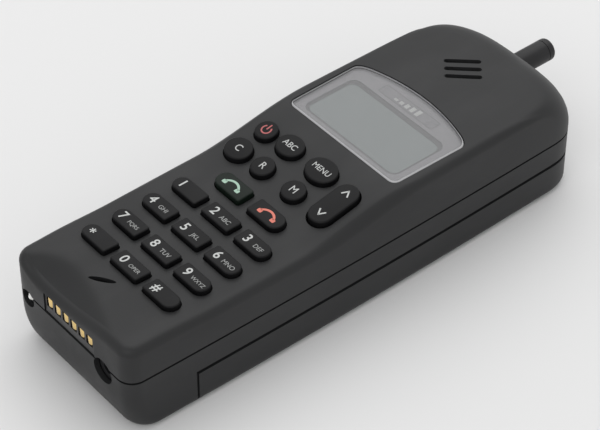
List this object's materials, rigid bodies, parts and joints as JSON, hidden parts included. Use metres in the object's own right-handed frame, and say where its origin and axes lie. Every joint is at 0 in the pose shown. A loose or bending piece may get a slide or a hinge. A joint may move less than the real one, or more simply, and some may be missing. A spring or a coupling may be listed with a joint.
{
  "type": "early mobile brick phone",
  "caption": "Handheld brick mobile phone with pressing keys, tilting scroll rocker, sliding stub aerial and a battery pack that swings off the back.",
  "frame": {"origin": "middle of the battery pack's flat back, which the phone lies on", "axes": "+X to the right across the keypad, +Y up the phone to the aerial, +Z out of the keypad"},
  "size_m": [0.06, 0.203, 0.0405],
  "materials": {
    "body_plastic": "fine matte texture, dark charcoal",
    "key_rubber": "semi-matte hard-topped rubber",
    "lens": "clear acrylic with a smoky grey mask",
    "badge": "blank satin badge",
    "lcd": "reflective grey-green display glass",
    "frame_white": "white light-guide plastic",
    "board_green": "green solder mask",
    "steel": "plain",
    "gold": "gold-plated",
    "black_plastic": "moulded, satin",
    "mat_rubber": "silicone sheet",
    "card_plastic": "white card",
    "cell_wrap": "shrink wrap"
  },
  "bodies": {
    "handset": {"front_cover": "body_plastic", "rear_cover": "body_plastic", "display_window": "lens", "badge_plate": "badge", "lcd_panel": "lcd", "lcd_holder": "frame_white", "key_mat": "mat_rubber", "key_board": "board_green", "main_board": "board_green", "rf_shield": "steel", "earpiece": "steel", "microphone": "steel", "sim_card": "card_plastic", "battery_terminals": "gold", "antenna_bushing": "black_plastic", "charger_socket": "black_plastic", "charger_pin": "steel", "connector_body": "black_plastic", "contact_1": "gold", "contact_2": "gold", "contact_3": "gold", "contact_4": "gold", "contact_5": "gold", "contact_6": "gold", "aux_socket": "black_plastic", "screw_lower_left": "steel", "screw_lower_right": "steel", "screw_upper_left": "steel", "screw_upper_right": "steel"},
    "key_1": {"key_1": "key_rubber"},
    "key_2": {"key_2": "key_rubber"},
    "key_3": {"key_3": "key_rubber"},
    "key_4": {"key_4": "key_rubber"},
    "key_5": {"key_5": "key_rubber"},
    "key_6": {"key_6": "key_rubber"},
    "key_7": {"key_7": "key_rubber"},
    "key_8": {"key_8": "key_rubber"},
    "key_9": {"key_9": "key_rubber"},
    "key_0": {"key_0": "key_rubber"},
    "key_star": {"key_star": "key_rubber"},
    "key_hash": {"key_hash": "key_rubber"},
    "key_send": {"key_send": "key_rubber"},
    "key_end": {"key_end": "key_rubber"},
    "key_clear": {"key_clear": "key_rubber"},
    "key_recall": {"key_recall": "key_rubber"},
    "key_memory": {"key_memory": "key_rubber"},
    "key_power": {"key_power": "key_rubber"},
    "key_abc": {"key_abc": "key_rubber"},
    "key_menu": {"key_menu": "key_rubber"},
    "scroll_rocker": {"scroll_rocker": "key_rubber"},
    "antenna": {"antenna_rod": "steel", "antenna_cap": "black_plastic"},
    "battery_pack": {"battery_case": "body_plastic", "battery_lid": "body_plastic", "battery_cell_1": "cell_wrap", "battery_cell_2": "cell_wrap", "battery_cell_3": "cell_wrap", "battery_cell_4": "cell_wrap", "battery_cell_5": "cell_wrap"},
    "battery_latch": {"battery_latch": "black_plastic"}
  },
  "joints": [
    {"name": "key_1_press", "type": "slide", "parent": "handset", "child": "key_1", "axis": [0, 0, -1], "range_m": [0, 0.0008], "stiffness_N_per_m": 2000},
    {"name": "key_2_press", "type": "slide", "parent": "handset", "child": "key_2", "axis": [0, 0, -1], "range_m": [0, 0.0008], "stiffness_N_per_m": 2000},
    {"name": "key_3_press", "type": "slide", "parent": "handset", "child": "key_3", "axis": [0, 0, -1], "range_m": [0, 0.0008], "stiffness_N_per_m": 2000},
    {"name": "key_4_press", "type": "slide", "parent": "handset", "child": "key_4", "axis": [0, 0, -1], "range_m": [0, 0.0008], "stiffness_N_per_m": 2000},
    {"name": "key_5_press", "type": "slide", "parent": "handset", "child": "key_5", "axis": [0, 0, -1], "range_m": [0, 0.0008], "stiffness_N_per_m": 2000},
    {"name": "key_6_press", "type": "slide", "parent": "handset", "child": "key_6", "axis": [0, 0, -1], "range_m": [0, 0.0008], "stiffness_N_per_m": 2000},
    {"name": "key_7_press", "type": "slide", "parent": "handset", "child": "key_7", "axis": [0, 0, -1], "range_m": [0, 0.0008], "stiffness_N_per_m": 2000},
    {"name": "key_8_press", "type": "slide", "parent": "handset", "child": "key_8", "axis": [0, 0, -1], "range_m": [0, 0.0008], "stiffness_N_per_m": 2000},
    {"name": "key_9_press", "type": "slide", "parent": "handset", "child": "key_9", "axis": [0, 0, -1], "range_m": [0, 0.0008], "stiffness_N_per_m": 2000},
    {"name": "key_0_press", "type": "slide", "parent": "handset", "child": "key_0", "axis": [0, 0, -1], "range_m": [0, 0.0008], "stiffness_N_per_m": 2000},
    {"name": "key_star_press", "type": "slide", "parent": "handset", "child": "key_star", "axis": [0, 0, -1], "range_m": [0, 0.0008], "stiffness_N_per_m": 2000},
    {"name": "key_hash_press", "type": "slide", "parent": "handset", "child": "key_hash", "axis": [0, 0, -1], "range_m": [0, 0.0008], "stiffness_N_per_m": 2000},
    {"name": "key_send_press", "type": "slide", "parent": "handset", "child": "key_send", "axis": [0, 0, -1], "range_m": [0, 0.0008], "stiffness_N_per_m": 2000},
    {"name": "key_end_press", "type": "slide", "parent": "handset", "child": "key_end", "axis": [0, 0, -1], "range_m": [0, 0.0008], "stiffness_N_per_m": 2000},
    {"name": "key_clear_press", "type": "slide", "parent": "handset", "child": "key_clear", "axis": [0, 0, -1], "range_m": [0, 0.0008], "stiffness_N_per_m": 2000},
    {"name": "key_recall_press", "type": "slide", "parent": "handset", "child": "key_recall", "axis": [0, 0, -1], "range_m": [0, 0.0008], "stiffness_N_per_m": 2000},
    {"name": "key_memory_press", "type": "slide", "parent": "handset", "child": "key_memory", "axis": [0, 0, -1], "range_m": [0, 0.0008], "stiffness_N_per_m": 2000},
    {"name": "key_power_press", "type": "slide", "parent": "handset", "child": "key_power", "axis": [0, 0, -1], "range_m": [0, 0.0008], "stiffness_N_per_m": 2000},
    {"name": "key_abc_press", "type": "slide", "parent": "handset", "child": "key_abc", "axis": [0, 0, -1], "range_m": [0, 0.0008], "stiffness_N_per_m": 2000},
    {"name": "key_menu_press", "type": "slide", "parent": "handset", "child": "key_menu", "axis": [0, 0, -1], "range_m": [0, 0.0008], "stiffness_N_per_m": 2000},
    {"name": "scroll_rocker_tilt", "type": "hinge", "parent": "handset", "child": "scroll_rocker", "pos_m": [0.0193, -0.0077, 0.0355], "axis": [1, 0, 0], "range_deg": [-3, 3], "stiffness_Nm_per_rad": 0.27},
    {"name": "antenna_slide", "type": "slide", "parent": "handset", "child": "antenna", "axis": [0, 1, 0], "range_m": [0, 0.085]},
    {"name": "battery_pack_swing", "type": "hinge", "parent": "handset", "child": "battery_pack", "pos_m": [0, -0.06835, 0.0004], "axis": [-1, 0, 0], "range_deg": [0, 25]},
    {"name": "battery_latch_slide", "type": "slide", "parent": "battery_pack", "child": "battery_latch", "axis": [0, -1, 0], "range_m": [0, 0.002], "stiffness_N_per_m": 500}
  ]
}
